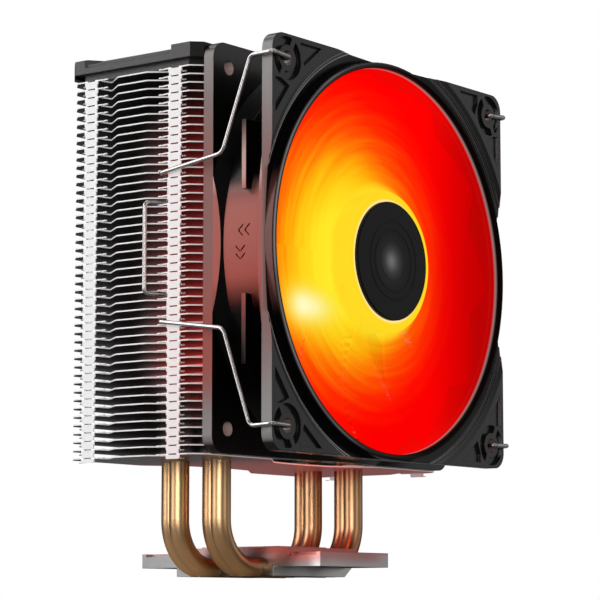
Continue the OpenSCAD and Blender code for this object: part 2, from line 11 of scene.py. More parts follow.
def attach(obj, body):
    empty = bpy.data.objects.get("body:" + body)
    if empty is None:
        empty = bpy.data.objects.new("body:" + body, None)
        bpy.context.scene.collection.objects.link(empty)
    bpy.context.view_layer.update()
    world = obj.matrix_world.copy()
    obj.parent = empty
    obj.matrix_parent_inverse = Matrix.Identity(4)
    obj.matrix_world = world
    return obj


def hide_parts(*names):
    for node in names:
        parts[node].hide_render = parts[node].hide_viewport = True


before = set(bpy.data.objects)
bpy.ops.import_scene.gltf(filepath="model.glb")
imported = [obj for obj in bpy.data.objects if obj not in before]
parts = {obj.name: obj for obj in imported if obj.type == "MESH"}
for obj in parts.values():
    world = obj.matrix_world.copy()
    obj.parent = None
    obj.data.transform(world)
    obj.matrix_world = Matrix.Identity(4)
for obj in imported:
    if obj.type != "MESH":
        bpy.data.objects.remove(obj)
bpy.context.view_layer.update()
scene = bpy.context.scene

# Shared places, in metres
MM = 0.001
FAN_Y = -0.0493     # front face of the fan
FAN_Z = 0.0937      # axis of the fan
STACK_Y = 0.0014    # centre of the fin stack
CAMERA_AT = (-0.601567, -0.421681 + FAN_Y, -0.104006 + FAN_Z)


# ---------------------------------------------------------------- shader node helpers
class Graph:
    """Shader node tree whose inputs take a number, a colour or another node's socket."""

    def __init__(self, owner):
        owner.use_nodes = True
        self.tree = owner.node_tree
        self.tree.nodes.clear()

    def put(self, socket, value):
        if isinstance(value, bpy.types.NodeSocket):
            self.tree.links.new(value, socket)
        elif socket.type == "RGBA" and len(value) == 3:
            socket.default_value = (*value, 1)
        else:
            socket.default_value = value

    def node(self, kind, inputs=None, **properties):
        node = self.tree.nodes.new("ShaderNode" + kind)
        for name, value in properties.items():
            setattr(node, name, value)
        for key, value in (inputs or {}).items():
            self.put(node.inputs[key], value)
        return node

    def math(self, operation, *values, clamp=False):
        values += (0.0,) * (3 - len(values))
        inputs = dict(enumerate(values))
        return self.node("Math", inputs, operation=operation, use_clamp=clamp).outputs[0]

    def add(self, a, b):
        return self.math("ADD", a, b)

    def sub(self, a, b):
        return self.math("SUBTRACT", a, b)

    def div(self, a, b):
        return self.math("DIVIDE", a, b)

    def max(self, a, b):
        return self.math("MAXIMUM", a, b)

    def abs(self, a):
        return self.math("ABSOLUTE", a)

    def mul(self, product, *factors):
        for factor in factors:
            product = self.math("MULTIPLY", product, factor)
        return product

    def squares(self, a, b):
        return self.add(self.mul(a, a), self.mul(b, b))

    def length(self, a, b):
        return self.math("SQRT", self.squares(a, b))

    def bell(self, squared, sharpness):
        """Bell curve over a squared distance, 1 at its middle."""
        return self.math("POWER", 2.718, self.mul(squared, -sharpness))

    def mix(self, mask, a, b):
        inputs = {0: mask, 6: a, 7: b}
        return self.node("Mix", inputs, data_type="RGBA", clamp_factor=True).outputs[2]

    def ramp(self, value, stops):
        """Colour ramp; stops are (position, colour)."""
        node = self.node("ValToRGB", {0: value})
        elements = node.color_ramp.elements
        while len(elements) < len(stops):
            elements.new(0.5)
        for i, (position, color) in enumerate(stops):
            elements[i].position = position
            elements[i].color = (*color, 1)
        return node.outputs[0]

    def fade(self, value, over, to=(0.0, 1.0), smooth=True):
        """Carry the range `over` to the range `to`, held level beyond both ends."""
        kind = "SMOOTHSTEP" if smooth else "LINEAR"
        inputs = dict(enumerate((value, *over, *to)))
        return self.node("MapRange", inputs, interpolation_type=kind, clamp=True).outputs[0]

    def vary(self, noise, low, high):
        """Spread the middle part of a noise between two values."""
        return self.fade(noise, over=(0.3, 0.7), to=(low, high))

    def split(self, vector):
        return self.node("SeparateXYZ", {0: vector}).outputs[0:3]

    def position(self):
        """x, y and z in metres, and the geometry node they come from."""
        geometry = self.node("NewGeometry")
        return (*self.split(geometry.outputs["Position"]), geometry)

    def object_point(self, stretch=(1, 1, 1)):
        coordinates = self.node("TexCoord")
        inputs = {"Scale": stretch, 0: coordinates.outputs["Object"]}
        return self.node("Mapping", inputs).outputs[0]

    def noise(self, scale, detail=3.0, rough=0.5, stretch=(1, 1, 1), at=None):
        if at is None:
            at = self.object_point(stretch)
        inputs = {"Scale": scale, "Detail": detail, "Roughness": rough, "Vector": at}
        return self.node("TexNoise", inputs).outputs[0]

    def facing(self, blend):
        return self.node("LayerWeight", {"Blend": blend}).outputs["Facing"]

    def bump(self, height, strength, distance, bevel=None):
        """Bumped normal, over edges rounded by `bevel` if it is given."""
        inputs = {"Strength": strength, "Distance": distance, "Height": height}
        if bevel is not None:
            inputs["Normal"] = self.node("Bevel", {"Radius": bevel}, samples=4).outputs[0]
        return self.node("Bump", inputs).outputs[0]


class Material(Graph):
    INPUTS = {
        "color": "Base Color", "metal": "Metallic", "rough": "Roughness", "ior": "IOR",
        "spec": "Specular IOR Level", "coat": "Coat Weight", "emit": "Emission Color",
        "emit_strength": "Emission Strength", "normal": "Normal",
    }

    def __init__(self, name):
        self.block = bpy.data.materials.new(name)
        super().__init__(self.block)
        self.output = self.node("OutputMaterial")
        self.shader = self.node("BsdfPrincipled")
        self.put(self.output.inputs[0], self.shader.outputs[0])

    def surface(self, **values):
        """Feed the shader and return the finished material."""
        for name, value in values.items():
            self.put(self.shader.inputs[self.INPUTS[name]], value)
        return self.block


def darker(color, factor):
    return tuple(channel * factor for channel in color)


# ---------------------------------------------------------------- light of the fan, painted as emission on the blades and on the parts around them
GLOW_PLANE_Y = FAN_Y + 0.006        # near the blades' front edges
GLOW_REACH = 60.0                   # mm from the middle of the glow to the ramp's end
STACK_GLOW_RADIUS = (58.0, 55.0)    # mm from the fan's axis, where the glow in the fins sets in
STACK_GLOW_DEPTH = (0.016, 0.006)   # y over which it sets in
UNLIT = (0.02, 0.0, 0.0)            # base colour of whatever stands in the glow

# Colour of the glow: distance from its middle as a share of GLOW_REACH, colour
GLOW = [
    (0.0, (1.0, 0.86, 0.028)), (0.25, (1.0, 0.80, 0.020)), (0.40, (1.0, 0.58, 0.007)),
    (0.50, (1.0, 0.37, 0.003)), (0.57, (1.0, 0.20, 0.002)), (0.65, (1.0, 0.085, 0.001)),
    (0.74, (1.0, 0.026, 0.0006)), (0.84, (1.0, 0.005, 0.0005)), (0.95, (0.98, 0.0004, 0.0004)),
]


def red_reach(mat):
    """How much of the glow reaches a point, 0 to 1: most at the fins' front edge, low down."""
    _, y, z, _ = mat.position()
    front = mat.fade(y, over=(0.012, -0.030))
    low = mat.fade(z, over=(0.150, 0.060), to=(0.45, 1.0))
    return mat.mul(front, low)


def fan_radius(mat):
    """Distance from the fan's axis in mm."""
    x, _, z, _ = mat.position()
    return mat.mul(mat.length(x, mat.sub(z, FAN_Z)), 1000.0)


def fan_glow(mat):
    """Painted colour of the fan's light inside the blades, fixed to the frame as the rotor turns.
    """
    x, y, z, _ = mat.position()
    # read on one plane along the line of sight, so that the field runs on from blade to blade
    along = mat.div(mat.sub(GLOW_PLANE_Y, y), mat.sub(CAMERA_AT[1], y))
    seen_x = mat.add(x, mat.mul(along, mat.sub(CAMERA_AT[0], x)))
    seen_z = mat.add(z, mat.mul(along, mat.sub(CAMERA_AT[2], z)))
    # from here on in mm from the fan's axis
    across = mat.mul(seen_x, 1000.0)
    rise = mat.mul(mat.sub(seen_z, FAN_Z), 1000.0)
    radius = mat.length(across, rise)
    angle = mat.math("ARCTAN2", rise, across)

    # distance from the middle of the glow, which reaches less far below it
    off_x = mat.add(across, 16.0)
    off_z = mat.add(rise, 2.6)
    off_z = mat.mul(off_z, mat.fade(off_z, over=(-20, 5), to=(1.12, 0.97)))
    distance = mat.length(off_x, off_z)

    # arcs of light drawn out by the turning blades
    polar = mat.node("CombineXYZ", {0: mat.mul(radius, 0.42), 1: mat.mul(angle, 1.1)})
    streak = mat.sub(mat.noise(1.0, at=polar.outputs[0]), 0.5)
    streak_size = mat.fade(radius, over=(20, 32), to=(3.0, 11.0))
    distance = mat.add(distance, mat.mul(streak, streak_size))
    color = mat.ramp(mat.math("DIVIDE", distance, GLOW_REACH, clamp=True), GLOW)

    # darker towards the right
    color = mat.mix(mat.fade(across, over=(22, 58)), color, (0.55, 0.0002, 0.0006))

    # painted glow of one lamp seen almost directly, low on the left: a wide halo and a hot core
    lamp_width = mat.fade(across, over=(-40, -30), to=(6.5, 12.0))
    lamp_x = mat.div(mat.add(across, 37.0), lamp_width)
    lamp_z = mat.div(mat.add(rise, 16.5), 4.6)
    lamp = mat.squares(lamp_x, lamp_z)
    color = mat.mix(mat.bell(lamp, sharpness=0.40), color, (1.0, 0.80, 0.018))
    color = mat.mix(mat.bell(lamp, sharpness=1.7), color, (1.0, 0.98, 0.56))

    # ring round the hub, pale at the cap's edge
    ring_color = (1.0, 0.70, 0.018)
    true_radius = fan_radius(mat)
    color = mat.mix(mat.fade(radius, over=(25.5, 21.3)), color, ring_color)
    hub = mat.mul(mat.fade(true_radius, over=(21.6, 21.4)),
                  mat.fade(y, over=(FAN_Y + 0.009, FAN_Y + 0.006)))
    color = mat.mix(hub, color, ring_color)
    return mat.mix(mat.fade(true_radius, over=(18.9, 18.2)), color, (1.0, 0.82, 0.36))


def duct_glow(mat):
    """Mask for whatever stands inside the fan's duct, and the light's colour there."""
    color = fan_glow(mat)
    _, y, _, _ = mat.position()
    bore = mat.fade(fan_radius(mat), over=(58.25, 58.10), smooth=False)
    front = mat.fade(y, over=(-0.0488, -0.0471))
    rear = mat.fade(y, over=(-0.011, -0.023))
    return mat.mul(bore, front, rear), color


# ---------------------------------------------------------------- materials
def copper_material():
    mat = Material("pipe_copper")
    x, y, z, geometry = mat.position()
    cloud = mat.noise(scale=38.0)
    base = mat.mix(cloud, (0.70, 0.425, 0.215), (0.79, 0.50, 0.265))
    # painted reflection of the glow on the ends by the base and under the fins, most on the right
    ends = mat.max(mat.fade(z, over=(0.020, 0.006), to=(0.15, 0.8)),
                   mat.fade(z, over=(0.027, 0.034), to=(0.0, 0.8)))
    tint = mat.mul(mat.fade(x, over=(-0.012, 0.036)), ends)
    base = mat.mix(tint, base, (0.56, 0.13, 0.075))
    # painted shade: dark brown where the pipe turns away from the view
    grazing_painted_shade = mat.fade(mat.facing(blend=0.55), over=(0.35, 0.95))
    base = mat.mix(grazing_painted_shade, base, (0.20, 0.095, 0.045))
    # painted reflection of the bright table below, as emission in the underside of the bends
    nx, _, nz = mat.split(geometry.outputs["Normal"])
    painted_floor_reflection = mat.mul(mat.fade(nz, over=(-0.08, -0.45)), mat.fade(nx, over=(0.3, -0.4)))
    painted_floor_reflection = mat.mul(painted_floor_reflection, mat.vary(cloud, 0.16, 0.26))
    # inside the fin stack the front pipes stand in the glow, painted as emission over a dark base
    glow = fan_glow(mat)
    inside = mat.mul(mat.fade(fan_radius(mat), over=STACK_GLOW_RADIUS),
                     mat.fade(y, over=STACK_GLOW_DEPTH))
    return mat.surface(
        color=mat.mix(inside, base, UNLIT), metal=1.0, rough=0.34,
        emit=mat.mix(inside, (0.60, 0.33, 0.14), glow),
        emit_strength=mat.max(mat.mul(inside, 0.88), painted_floor_reflection))


def aluminium_material(name, base, rough, grain):
    """Machined aluminium; grain stretches the noise that draws the tool lines."""
    mat = Material(name)
    x, y, z, geometry = mat.position()
    nx, _, nz = mat.split(geometry.outputs["True Normal"])
    lines = mat.noise(1.0, stretch=grain, detail=4, rough=0.65)
    cloud = mat.noise(scale=90.0)
    color = mat.mix(mat.mul(lines, 0.4), base, darker(base, 0.75))
    # painted red glow: only the upper edges and faces take it, most near the right pipes
    upper = mat.max(mat.fade(nz, over=(0.3, 0.8)), mat.fade(z, over=(0.0058, 0.0072)))
    right = mat.fade(mat.sub(x, mat.mul(y, 0.9)), over=(-0.014, 0.004))
    painted_red_spill = mat.mul(mat.fade(z, over=(0.0025, 0.0062)), mat.mul(right, 0.62),
                    mat.fade(x, over=(0.0172, 0.008), to=(0.25, 1.0)))
    # painted shade: the faces turned to the left are dark, except at the front
    end = mat.mul(mat.fade(nx, over=(-0.3, -0.8)),
                  mat.fade(y, over=(-0.0335, -0.029), to=(0.0, 0.66)))
    color = mat.mix(end, color, (0.05, 0.05, 0.052))
    lit = mat.mul(upper, mat.add(mat.mul(right, 0.60), 0.25))
    return mat.surface(
        color=mat.mix(mat.max(lit, painted_red_spill), color, (0.70, 0.11, 0.085)), metal=0.95,
        rough=mat.vary(cloud, rough, rough + 0.12),
        normal=mat.bump(lines, strength=0.10, distance=0.00005, bevel=0.0002))


def cover_material():
    mat = Material("cover_plastic")
    _, y, _, geometry = mat.position()
    grain = mat.noise(scale=1900.0, rough=0.6)
    soft = mat.noise(scale=30.0, detail=2)
    # painted red glow: warmer towards the fan
    painted_glow_near_fan = mat.fade(y, over=(0.0, -0.026))
    _, ny, _ = mat.split(geometry.outputs["True Normal"])
    color = mat.mix(painted_glow_near_fan, (0.062, 0.061, 0.061), (0.058, 0.048, 0.046))
    color = mat.mix(mat.mul(soft, 0.3), color, (0.045, 0.044, 0.044))
    # painted shade: the faces turned to the front are near black
    front_painted_shade = mat.fade(ny, over=(-0.5, -0.65))
    return mat.surface(
        color=mat.mix(front_painted_shade, color, (0.008, 0.006, 0.005)),
        rough=mat.vary(grain, 0.34, 0.48), spec=0.45,
        normal=mat.bump(grain, strength=0.10, distance=0.00005, bevel=0.00025))


# Painted light on the outer side of the duct from low to high, shade, red glow and a pale
# highlight: share of the height DUCT_RISE, colour
DUCT_RISE = (-0.030, 0.036)
DUCT = [
    (0.0, (0.02, 0.004, 0.003)), (0.10, (0.16, 0.025, 0.018)), (0.30, (0.60, 0.12, 0.09)),
    (0.66, (0.56, 0.155, 0.125)), (0.74, (0.85, 0.46, 0.41)), (0.84, (0.80, 0.50, 0.45)),
    (1.0, (0.03, 0.018, 0.016)),
]
FAN_HOLE = 0.0525   # fan holes lie this far from the axis, along X and along Z


def frame_side_color(mat, y, rise, height):
    """Outer sides with painted highlights, shade and red glow: rear flange, duct and front flange
    take the light differently.
    """
    low = mat.fade(rise, over=(0.004, -0.026))
    middle = mat.fade(height, over=(0.052, 0.022))
    rear = mat.mix(middle, (0.30, 0.25, 0.245), (0.36, 0.155, 0.14))
    red = mat.mul(low, mat.fade(rise, over=(-0.050, -0.034)))
    rear = mat.mix(red, rear, (0.46, 0.095, 0.075))
    front = mat.mix(middle, (0.33, 0.31, 0.305), (0.24, 0.088, 0.075))
    duct = mat.ramp(mat.fade(rise, over=DUCT_RISE, smooth=False), DUCT)
    side = mat.mix(mat.fade(y, over=(-0.0279, -0.0277), smooth=False), duct, rear)
    return mat.mix(mat.fade(y, over=(-0.0454, -0.0456), smooth=False), side, front)


def painted_edge_highlights(mat, x, y, ny, radius, swirl):
    """Painted highlights along the edges of the dish's two steps and of the rim, as a mask."""
    def ring(at, width):
        offset = mat.div(mat.sub(radius, at), width)
        return mat.bell(mat.mul(offset, offset), sharpness=1.0)

    steps = mat.add(ring(at=63.13, width=0.15), mat.mul(ring(at=64.23, width=0.12), 0.8))
    rim = mat.mul(ring(at=59.25, width=0.20), mat.fade(x, over=(0.0, -0.045), to=(0.0, 0.35)))
    return mat.mul(
        mat.add(steps, rim),
        mat.fade(y, over=(-0.0462, -0.0468)),
        mat.fade(x, over=(0.050, -0.035), to=(0.18, 1.0)),
        mat.fade(ny, over=(-0.3, -0.6)),
        mat.fade(swirl, over=(0.35, 0.6), to=(0.5, 1.0)))


def frame_material():
    mat = Material("frame_plastic")
    x, y, z, geometry = mat.position()
    nx, ny, _ = mat.split(geometry.outputs["Normal"])
    radius = fan_radius(mat)
    width = mat.abs(x)
    rise = mat.sub(z, FAN_Z)
    height = mat.abs(rise)
    grain = mat.noise(scale=2200.0, rough=0.6)
    swirl = mat.noise(scale=26.0, detail=2)
    outer = mat.mul(mat.fade(mat.abs(nx), over=(0.80, 0.97)),
                    mat.fade(width, over=(0.0555, 0.0585)),
                    mat.fade(radius, over=(58.5, 58.7)))
    side = frame_side_color(mat, y, rise, height)

    # dark plastic, with painted shade: blackest between the flanges and in the dish round the rim
    black = mat.mix(mat.mul(swirl, 0.5), (0.014, 0.012, 0.0115), (0.020, 0.018, 0.017))
    between = mat.mul(mat.fade(y, over=(-0.0457, -0.0453)),
                      mat.fade(height, over=(0.056, 0.040)))
    dish = mat.mul(mat.fade(radius, over=(63.3, 62.8)), mat.fade(y, over=(-0.0460, -0.0464)))
    dark = mat.max(mat.mul(between, 0.85), mat.mul(dish, 0.75))
    black = mat.mix(dark, black, (0.002, 0.0014, 0.0012))
    line = painted_edge_highlights(mat, x, y, ny, radius, swirl)

    # painted light: the walls of the fan holes catch it, more towards the rear
    hole_radius = mat.length(mat.sub(width, FAN_HOLE), mat.sub(height, FAN_HOLE))
    wall = mat.mul(mat.fade(hole_radius, over=(0.00235, 0.00222)),
                   mat.fade(nx, over=(-0.25, -0.75)))
    rearward = (-0.040, -0.030)
    hole_wall_painted_light = mat.mul(wall, mat.fade(y, over=rearward, to=(0.22, 0.8)))
    wall_light = mat.mul(wall, mat.fade(y, over=rearward, to=(0.05, 0.13)))

    color = mat.mix(outer, black, side)
    # painted highlights on the edge lines, in colour here and as emission below
    color = mat.mix(mat.mul(line, 0.9), color, (0.62, 0.58, 0.57))
    color = mat.mix(hole_wall_painted_light, color, (0.58, 0.40, 0.38))

    # the duct's inside and the right of the rim lose their gloss; the duct's inside takes the
    # fan's glow, painted as emission
    inside, glow = duct_glow(mat)
    right_rim = mat.mul(mat.fade(radius, over=(60.2, 59.9)),
                        mat.fade(y, over=(-0.0460, -0.0464)),
                        mat.fade(x, over=(-0.010, 0.020), to=(0.0, 0.75)))
    rougher = mat.add(mat.mul(outer, 0.12), mat.mul(inside, 0.4))
    # painted light as emission: pale on the highlight lines, pink on the hole walls
    edge_light = mat.mix(wall, (0.75, 0.70, 0.68), (0.62, 0.42, 0.38))
    return mat.surface(
        color=color,
        rough=mat.add(mat.vary(grain, 0.23, 0.27), rougher),
        spec=mat.sub(0.5, mat.mul(mat.max(dark, inside), 0.38)),
        ior=mat.sub(1.5, mat.mul(mat.max(inside, right_rim), 0.47)),
        emit=mat.mix(inside, edge_light, glow),
        emit_strength=mat.max(mat.mul(inside, 0.9), mat.max(mat.mul(line, 0.42), wall_light)),
        normal=mat.bump(grain, strength=0.02, distance=0.00002, bevel=0.0003))


def fin_glow_mask(mat, x, y, z, nz):
    """Where the fins stand in the fan's glow, which is painted on them as emission."""
    wider = mat.fade(x, over=(0.02, 0.03), to=(0.0, 5.0))
    inside = mat.mul(mat.fade(mat.sub(fan_radius(mat), wider), over=STACK_GLOW_RADIUS),
                     mat.fade(y, over=STACK_GLOW_DEPTH))
    sides = mat.mul(mat.fade(x, over=(-0.047, -0.043)), mat.fade(x, over=(0.0600, 0.0592)))
    # the open upper face of the highest fin is outside the stack
    top = mat.mul(mat.fade(nz, over=(0.6, 0.9)), mat.fade(z, over=(0.1462, 0.1465)))
    return mat.mul(inside, sides, mat.sub(1.0, top))


def fin_material():
    mat = Material("fin_sheet")
    x, y, z, geometry = mat.position()
    _, _, nz = mat.split(geometry.outputs["True Normal"])
    flat = mat.fade(mat.abs(nz), over=(0.5, 0.8))
    streak = mat.noise(1.0, stretch=(60, 1400, 60), detail=4, rough=0.6)
    fine = mat.noise(scale=2600.0, rough=0.6)
    reach = red_reach(mat)
    glow = fan_glow(mat)
    width = mat.abs(x)
    depth = mat.abs(mat.sub(y, STACK_Y))
    inside = fin_glow_mask(mat, x, y, z, nz)
    # the light deep in the stack is plain red
    deep_light = mat.mul(mat.fade(y, over=(-0.012, 0.002)), 0.88)
    glow = mat.mix(deep_light, glow, (0.80, 0.030, 0.010))

    # sheets, with painted light: shade where they face each other, a warm glow low down, a dark
    # red glow towards the fan
    low = mat.fade(z, over=(0.120, 0.045))
    face = mat.mix(low, (0.155, 0.150, 0.148), (0.175, 0.140, 0.135))
    face = mat.mix(reach, face, (0.075, 0.014, 0.013))
    # painted light on the underside of the lowest fin, red on the right
    under = mat.mul(mat.fade(nz, over=(-0.6, -0.9)), mat.fade(z, over=(0.0342, 0.0340)))
    painted_red_underside = mat.mul(under, mat.fade(x, over=(-0.045, 0.000)))
    face = mat.mix(under, face, (0.30, 0.29, 0.29))
    face = mat.mix(mat.mul(painted_red_underside, 0.85), face, (0.34, 0.055, 0.050))

    # edges, with painted light: bright and pink towards the fan, painted shade behind the tabs'
    # outer faces, the ears less so
    edge = mat.mix(mat.mul(reach, 0.35), (0.93, 0.93, 0.93), (0.95, 0.70, 0.68))
    behind = mat.mul(mat.fade(width, over=(0.06098, 0.06090)),
                     mat.fade(width, over=(0.0560, 0.0565)))
    beside = mat.mul(mat.fade(depth, over=(0.0133, 0.0135)),
                     mat.fade(depth, over=(0.0212, 0.0205)))
    painted_tab_shade = mat.mul(behind, beside)
    edge = mat.mix(mat.mul(painted_tab_shade, 0.93), edge, (0.02, 0.016, 0.016))
    ear = mat.mul(mat.fade(depth, over=(0.01885, 0.0189)),
                  mat.fade(depth, over=(0.0202, 0.0201)))
    edge = mat.mix(mat.mul(ear, painted_tab_shade, 0.8), edge, (0.50, 0.24, 0.24))

    color = mat.mix(flat, edge, face)
    color = mat.mix(mat.mul(streak, 0.18), color, mat.mix(flat, (0.5, 0.5, 0.5), face))
    # painted light as emission: the open edges glow a little, the lowest fin's underside red, the
    # stack's inside in the fan's glow
    open_edge = mat.mul(mat.sub(1.0, flat), mat.sub(1.0, mat.mul(painted_tab_shade, 0.95)))
    bare_flat = mat.mul(flat, mat.sub(1.0, inside))
    edge_light = mat.mix(reach, (0.9, 0.9, 0.90), (0.95, 0.72, 0.70))
    outside_light = mat.max(mat.mul(open_edge, 0.27), mat.mul(painted_red_underside, 0.21))
    return mat.surface(
        color=mat.mix(inside, color, UNLIT),
        metal=mat.mul(bare_flat, 0.75),
        rough=mat.vary(fine, 0.30, 0.46),
        normal=mat.bump(mat.add(mat.mul(streak, 0.6), fine), strength=0.12, distance=0.00004),
        emit=mat.mix(under, mat.mix(inside, edge_light, glow), (0.62, 0.16, 0.14)),
        emit_strength=mat.max(outside_light, mat.mul(inside, 0.88)))


def blade_material():
    mat = Material("blade_painted_glow")
    # painted fan light: the blades glow by emission, a little less at their grazing edges
    glow = fan_glow(mat)
    facing = mat.facing(blend=0.35)
    grain = mat.noise(scale=900.0, rough=0.55)
    return mat.surface(
        color=(0.01, 0.0, 0.0), rough=mat.vary(grain, 0.40, 0.52), spec=0.02, ior=1.04,
        emit=glow, emit_strength=mat.sub(1.03, mat.mul(facing, 0.09)),
        normal=mat.bump(grain, strength=0.05, distance=0.00005))


def cap_material():
    """Black cap with turned rings and a painted highlight at its middle, fading over the rings."""
    mat = Material("cap_plastic")
    radius = fan_radius(mat)
    turned = mat.node("CombineXYZ", {0: mat.mul(radius, 4.5), 1: 0.0})
    rings = mat.noise(1.0, rough=0.6, at=turned.outputs[0])
    core = mat.bell(mat.mul(radius, radius), sharpness=0.16)
    halo = mat.bell(mat.mul(radius, radius), sharpness=0.050)
    halo = mat.mul(halo, mat.add(mat.mul(rings, 0.09), 0.004))
    return mat.surface(
        color=mat.mix(mat.mul(rings, 0.6), (0.005, 0.005, 0.005), (0.012, 0.012, 0.012)),
        rough=0.42, spec=0.18, emit=(0.9, 0.86, 0.88),
        emit_strength=mat.add(mat.mul(core, 0.10), halo),
        normal=mat.bump(rings, strength=0.25, distance=0.00008))


def metal_material(name, base, rough, grain=(900, 900, 900), bump=0.06):
    mat = Material(name)
    noise = mat.noise(1.0, rough=0.6, stretch=grain)
    return mat.surface(
        color=mat.mix(noise, darker(base, 0.85), base), metal=1.0,
        rough=mat.vary(noise, rough, rough + 0.10),
        normal=mat.bump(noise, strength=bump, distance=0.00004))


def plain_material(name, base, rough, grain=1500.0, **light):
    """Moulded or printed surface, with optional emission values."""
    mat = Material(name)
    fine = mat.noise(scale=grain, rough=0.6)
    cloud = mat.noise(scale=60.0)
    return mat.surface(
        color=mat.mix(mat.mul(cloud, 0.6), base, darker(base, 0.78)),
        rough=mat.vary(fine, rough, rough + 0.14),
        normal=mat.bump(fine, strength=0.12, distance=0.00005, bevel=0.00012), **light)


def coil_material():
    mat = Material("coil_enamel")
    inputs = {"Vector": mat.object_point(), "Scale": 900.0, "Distortion": 0.4, "Detail": 1.0}
    wave = mat.node("TexWave", inputs, wave_type="BANDS", bands_direction="Y").outputs[1]
    return mat.surface(
        color=mat.ramp(wave, [(0.0, (0.25, 0.08, 0.03)), (1.0, (0.80, 0.38, 0.16))]),
        metal=0.9, rough=0.30, coat=0.6, normal=mat.bump(wave, strength=0.6, distance=0.0001))


def board_material():
    mat = Material("board_lacquer")
    inputs = {"Vector": mat.object_point(), "Scale": 420.0}
    cells = mat.node("TexVoronoi", inputs, feature="DISTANCE_TO_EDGE")
    line = mat.fade(cells.outputs[0], over=(0.02, 0.06))
    return mat.surface(
        color=mat.mix(line, (0.10, 0.30, 0.15), (0.035, 0.14, 0.07)), rough=0.32, coat=0.5,
        normal=mat.bump(line, strength=0.2, distance=0.00004))


materials = {
    "cooling_fins": fin_material(),
    "fan_frame": frame_material(),
    "top_cover": cover_material(),
    "impeller": blade_material(),
    "hub_cap": cap_material(),
    "base_block": aluminium_material(
        "block_alu", (0.90, 0.88, 0.86), rough=0.32, grain=(30, 1600, 30)),
    "clamp_plate": aluminium_material(
        "plate_alu", (0.80, 0.79, 0.78), rough=0.30, grain=(1400, 24, 24)),
    "rotor_yoke": metal_material("yoke_steel", (0.60, 0.60, 0.62), rough=0.26),
    "rotor_magnet": plain_material("magnet_black", (0.04, 0.04, 0.045), rough=0.5),
    "shaft": metal_material("shaft_steel", (0.75, 0.75, 0.77), rough=0.14),
    "retaining_ring": plain_material("ring_nylon", (0.72, 0.70, 0.64), rough=0.45),
    "bearing_sleeve": metal_material("sleeve_bronze", (0.66, 0.44, 0.20), rough=0.34),
    "stator_core": metal_material(
        "core_steel", (0.40, 0.40, 0.42), rough=0.35, grain=(200, 4000, 200)),
    "coil_bobbin": plain_material("bobbin_nylon", (0.80, 0.78, 0.70), rough=0.45),
    "stator_coils": coil_material(),
    "motor_board": board_material(),
    "leds": plain_material("led_lens", (1.0, 0.30, 0.10), rough=0.2, grain=800.0,
                           emit=(1.0, 0.20, 0.04), emit_strength=4.0),
    "rear_label": plain_material("label_paper", (0.42, 0.42, 0.44), rough=0.55),
    "fan_cable": plain_material("cable_sleeve", (0.02, 0.02, 0.022), rough=0.45),
    "cable_plug": plain_material("plug_plastic", (0.025, 0.025, 0.027), rough=0.40),
}
HEAT_PIPES = ["heat_pipe_%d" % k for k in (1, 2, 3, 4)]
materials.update(dict.fromkeys(HEAT_PIPES, copper_material()))
clip_wire = metal_material(
    "clip_wire", (0.66, 0.61, 0.60), rough=0.20, grain=(70, 70, 70), bump=0.0)
materials.update(clip_left=clip_wire, clip_right=clip_wire)
for part, material in materials.items():
    slots = parts[part].data.materials
    slots.clear()
    slots.append(material)


# ---------------------------------------------------------------- mesh helpers, in mm
def round_corners(points):
    """Closed outline from corners (x, y, radius, arc segments)."""
    outline = []
    for i, (x, y, radius, segments) in enumerate(points):
        corner = Vector((x, y))
        if radius <= 0:
            outline.append(corner)
            continue
        before = Vector(points[i - 1][:2]) - corner
        after = Vector(points[(i + 1) % len(points)][:2]) - corner
        u, v = before.normalized(), after.normalized()
        half = u.angle(v) / 2
        # the arc may use up just under half of either side
        cut = min(radius / math.tan(half), before.length * 0.49, after.length * 0.49)
        radius = cut * math.tan(half)
        center = corner + (u + v).normalized() * (radius / math.sin(half))
        start = math.atan2(*(corner + u * cut - center).yx)
        end = math.atan2(*(corner + v * cut - center).yx)
        sweep = (end - start + math.pi) % (2 * math.pi) - math.pi
        for k in range(segments + 1):
            angle = start + sweep * k / segments
            outline.append(center + Vector((math.cos(angle), math.sin(angle))) * radius)
    return outline


def sheet(loops, half_thickness):
    """Fill 2-D loops, an outline and its holes, into a sheet centred on z = 0."""
    curve = bpy.data.curves.new("tmp", "CURVE")
    curve.dimensions = "2D"
    curve.fill_mode = "BOTH"
    curve.extrude = half_thickness
    for loop in loops:
        spline = curve.splines.new("POLY")
        spline.points.add(len(loop) - 1)
        for point, (x, y) in zip(spline.points, loop):
            point.co = (x, y, 0, 1)
        spline.use_cyclic_u = True
    ob = bpy.data.objects.new("tmp", curve)
    scene.collection.objects.link(ob)
    depsgraph = bpy.context.evaluated_depsgraph_get()
    mesh = bpy.data.meshes.new_from_object(ob.evaluated_get(depsgraph))
    verts = [tuple(vert.co) for vert in mesh.vertices]
    faces = [tuple(face.vertices) for face in mesh.polygons]
    bpy.data.objects.remove(ob)
    bpy.data.curves.remove(curve)
    bpy.data.meshes.remove(mesh)
    return verts, faces


def round_line(points, bend, steps, closed):
    """3-D line with its corners rounded; the ends of an open line stay."""
    points = [Vector(point) for point in points]
    last = len(points) - 1
    line = []
    for i, corner in enumerate(points):
        if not closed and i in (0, last):
            line.append(corner)
            continue
        before = points[i - 1] - corner
        after = points[(i + 1) % len(points)] - corner
        u, v = before.normalized(), after.normalized()
        half = u.angle(v) / 2
        cut = min(bend / math.tan(half), before.length * 0.49, after.length * 0.49)
        center = corner + (u + v).normalized() * (cut / math.cos(half))
        start, end = corner + u * cut - center, corner + v * cut - center
        sweep = start.angle(end)
        for k in range(steps + 1):
            share = k / steps
            arm = start * math.sin((1 - share) * sweep) + end * math.sin(share * sweep)
            line.append(center + arm / math.sin(sweep))
    return line


